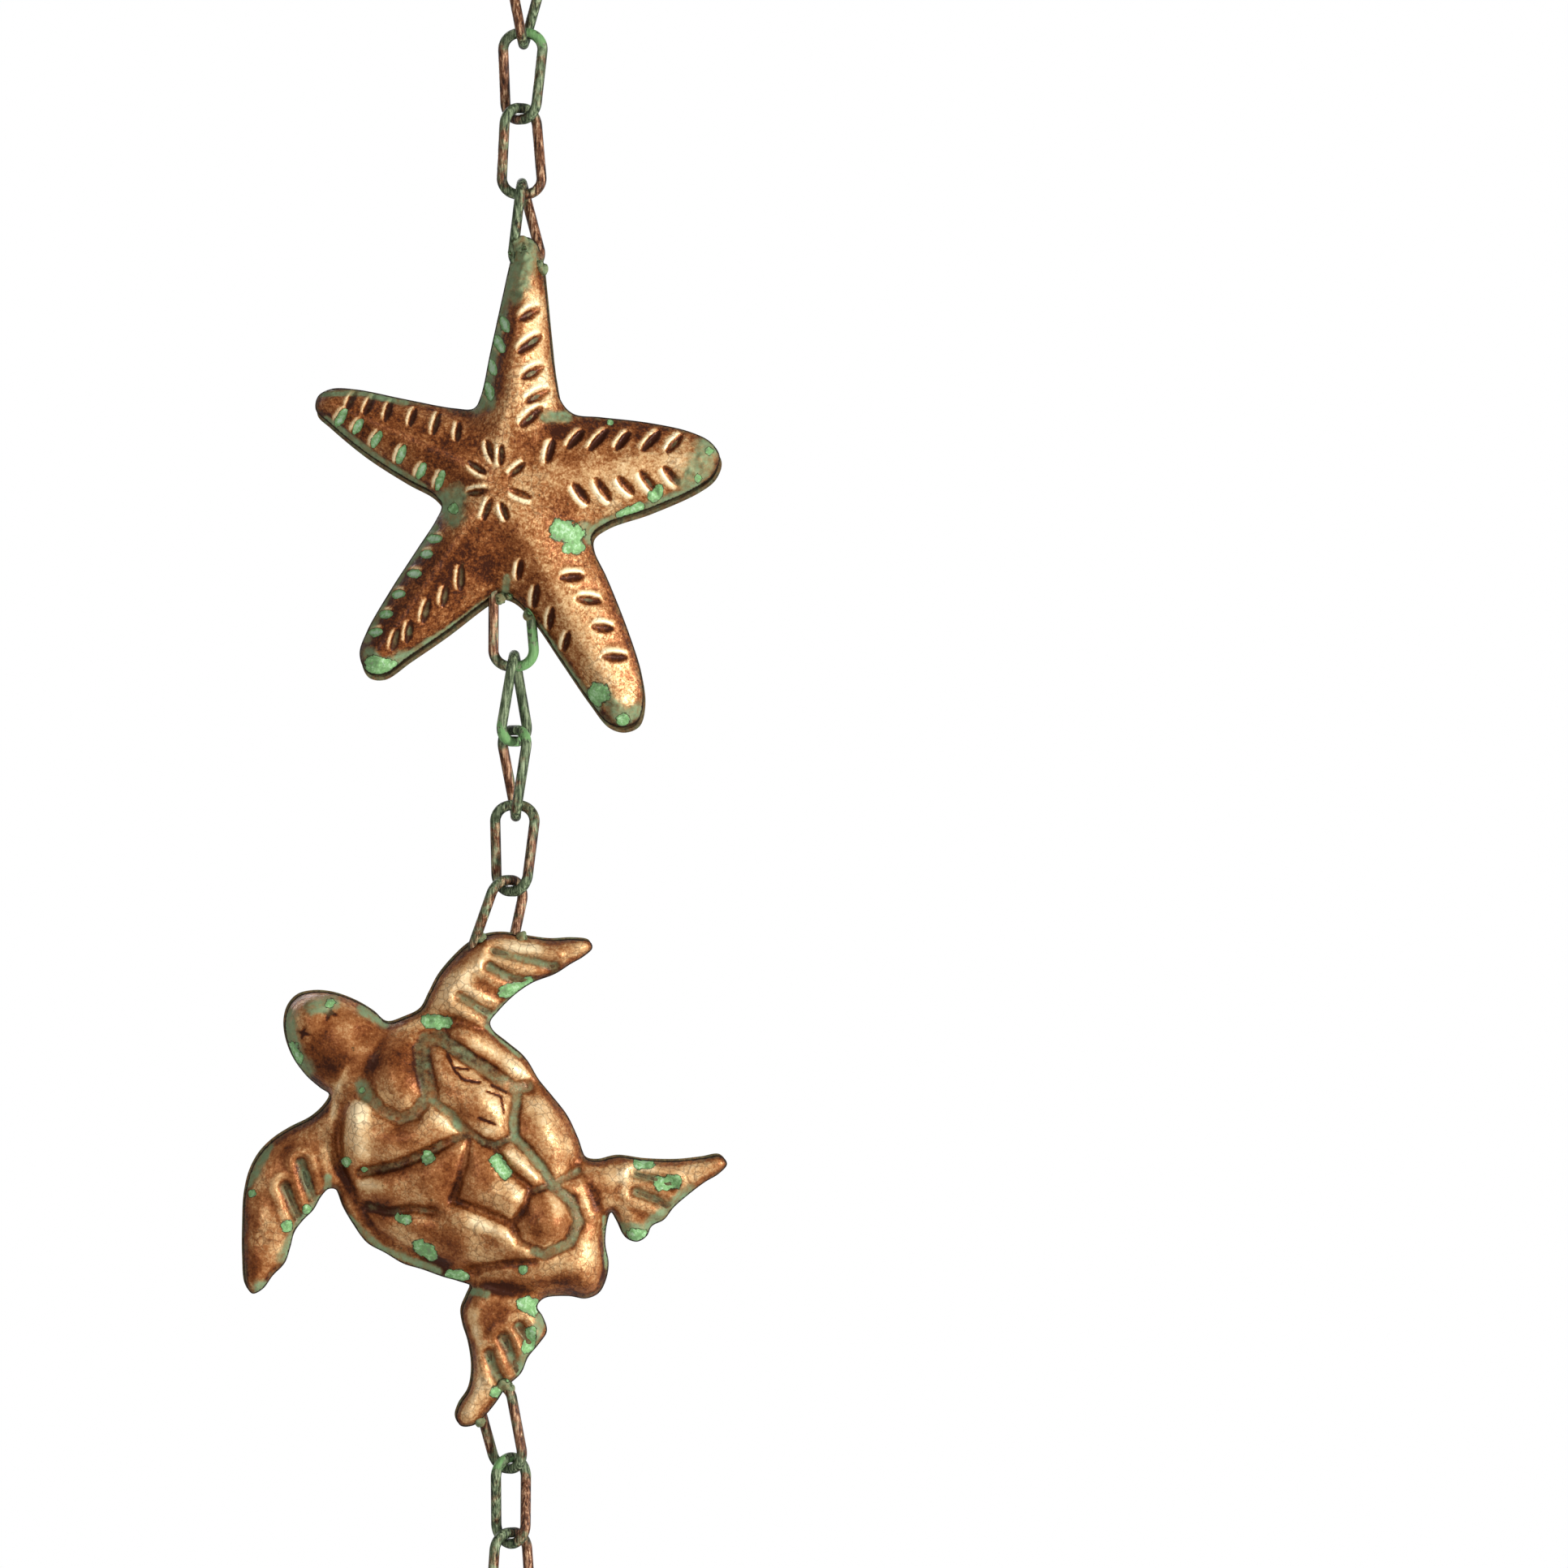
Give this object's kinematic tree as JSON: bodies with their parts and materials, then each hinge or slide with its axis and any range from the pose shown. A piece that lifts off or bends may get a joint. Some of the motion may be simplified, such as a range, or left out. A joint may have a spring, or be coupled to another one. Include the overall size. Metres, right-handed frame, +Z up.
{
  "type": "rain chain",
  "caption": "Hanging rain chain of twisted wire links carrying an embossed two-shell starfish above an embossed two-shell sea turtle.",
  "frame": {"origin": "inside top of the first link's eye, where the chain hangs", "axes": "+X to the right and +Y away from the viewer, square to the ornaments' seam, +Z up along the chain"},
  "size_m": [0.1288, 0.03, 0.4476],
  "materials": {
    "link_01": "antique copper, brushed, with green patina",
    "link_02": "antique copper, brushed, with green patina",
    "link_03": "antique copper, brushed, with green patina",
    "link_04": "antique copper, brushed, with green patina",
    "link_05": "antique copper, brushed, with green patina",
    "star_front_shell": "antique copper, brushed, with green patina",
    "star_back_shell": "antique copper, brushed, with green patina",
    "link_06": "antique copper, brushed, with green patina",
    "link_07": "antique copper, brushed, with green patina",
    "link_08": "antique copper, brushed, with green patina",
    "link_09": "antique copper, brushed, with green patina",
    "link_10": "antique copper, brushed, with green patina",
    "turtle_front_shell": "antique copper, brushed, with green patina",
    "turtle_back_shell": "antique copper, brushed, with green patina",
    "link_11": "antique copper, brushed, with green patina",
    "link_12": "antique copper, brushed, with green patina"
  },
  "bodies": {
    "link_01": {"link_01": "link_01"},
    "link_02": {"link_02": "link_02"},
    "link_03": {"link_03": "link_03"},
    "starfish": {"link_04": "link_04", "link_05": "link_05", "star_front_shell": "star_front_shell", "star_back_shell": "star_back_shell"},
    "link_06": {"link_06": "link_06"},
    "link_07": {"link_07": "link_07"},
    "link_08": {"link_08": "link_08"},
    "turtle": {"link_09": "link_09", "link_10": "link_10", "turtle_front_shell": "turtle_front_shell", "turtle_back_shell": "turtle_back_shell"},
    "link_11": {"link_11": "link_11"},
    "link_12": {"link_12": "link_12"}
  },
  "joints": [
    {"name": "link_02_swing", "type": "hinge", "parent": "link_01", "child": "link_02", "pos_m": [-0.0011, 0, -0.01867], "axis": [1, 0, 0], "range_deg": [-75, 75]},
    {"name": "link_03_swing", "type": "hinge", "parent": "link_02", "child": "link_03", "pos_m": [-0.0019, 0, -0.04026], "axis": [-1, 0, 0], "range_deg": [-30, 30]},
    {"name": "starfish_swing", "type": "hinge", "parent": "link_03", "child": "starfish", "pos_m": [-0.0015, 0, -0.06186], "axis": [1, 0, 0], "range_deg": [-75, 75]},
    {"name": "link_06_swing", "type": "hinge", "parent": "starfish", "child": "link_06", "pos_m": [-0.00356, 0, -0.18827], "axis": [-1, 0, 0], "range_deg": [-75, 75]},
    {"name": "link_07_swing", "type": "hinge", "parent": "link_06", "child": "link_07", "pos_m": [-0.00356, 0, -0.20687], "axis": [1, 0, 0], "range_deg": [-30, 30]},
    {"name": "link_08_swing", "type": "hinge", "parent": "link_07", "child": "link_08", "pos_m": [-0.00316, 0, -0.22546], "axis": [-1, 0, 0], "range_deg": [-75, 75]},
    {"name": "turtle_swing", "type": "hinge", "parent": "link_08", "child": "turtle", "pos_m": [-0.00436, 0, -0.24853], "axis": [1, 0, 0], "range_deg": [-25, 25]},
    {"name": "link_11_swing", "type": "hinge", "parent": "turtle", "child": "link_11", "pos_m": [-0.00446, 0, -0.40316], "axis": [-0.7071, 0.7071, 0], "range_deg": [-75, 75]},
    {"name": "link_12_swing", "type": "hinge", "parent": "link_11", "child": "link_12", "pos_m": [-0.00446, 0, -0.42326], "axis": [0.7071, -0.7071, 0], "range_deg": [-75, 75]}
  ]
}
